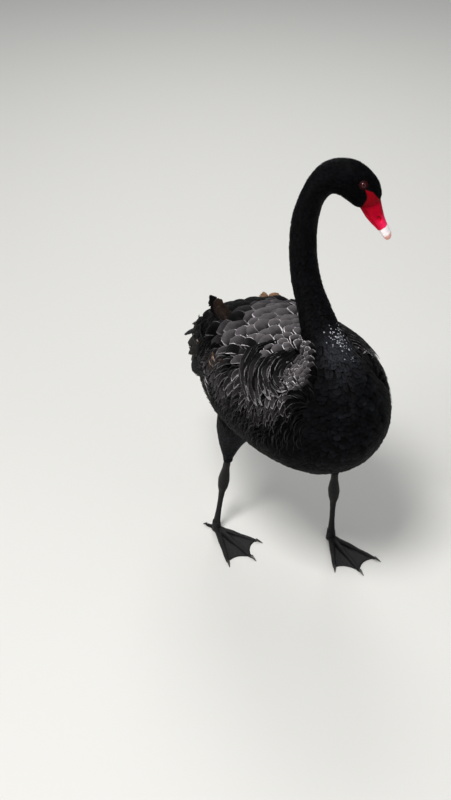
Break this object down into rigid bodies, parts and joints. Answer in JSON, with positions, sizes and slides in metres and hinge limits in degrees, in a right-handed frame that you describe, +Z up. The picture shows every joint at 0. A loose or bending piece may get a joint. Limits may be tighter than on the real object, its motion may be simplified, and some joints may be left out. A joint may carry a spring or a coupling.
{
  "type": "black swan",
  "caption": "Still, life-size model of a standing black swan, neck raised in an S, head turned to its left, with folded ruffled wings, red bill and webbed feet.",
  "frame": {"origin": "on the floor, under the middle of the model's box", "axes": "+Z up, the body faces -Y, its left side is +X"},
  "size_m": [0.2787, 0.5231, 0.8186],
  "materials": {
    "body_feathers": "dense soft black feathers",
    "wing_feathers": "charcoal vanes with pale grey edges",
    "bill": "satin crimson horn with a pale band near the tip",
    "eye": "wet dull red",
    "leg_skin": "scaled grey-black skin"
  },
  "bodies": {
    "root": {"torso": "body_feathers", "neck_lower": "body_feathers", "neck_middle": "body_feathers", "neck_upper": "body_feathers", "head": "body_feathers", "thigh_left": "body_feathers", "thigh_right": "body_feathers", "tail": "wing_feathers", "wing_left": "wing_feathers", "wing_right": "wing_feathers", "bill_upper": "bill", "bill_lower": "bill", "eye_left": "eye", "eye_right": "eye", "shank_left": "leg_skin", "shank_right": "leg_skin", "foot_left": "leg_skin", "foot_right": "leg_skin"}
  },
  "joints": []
}
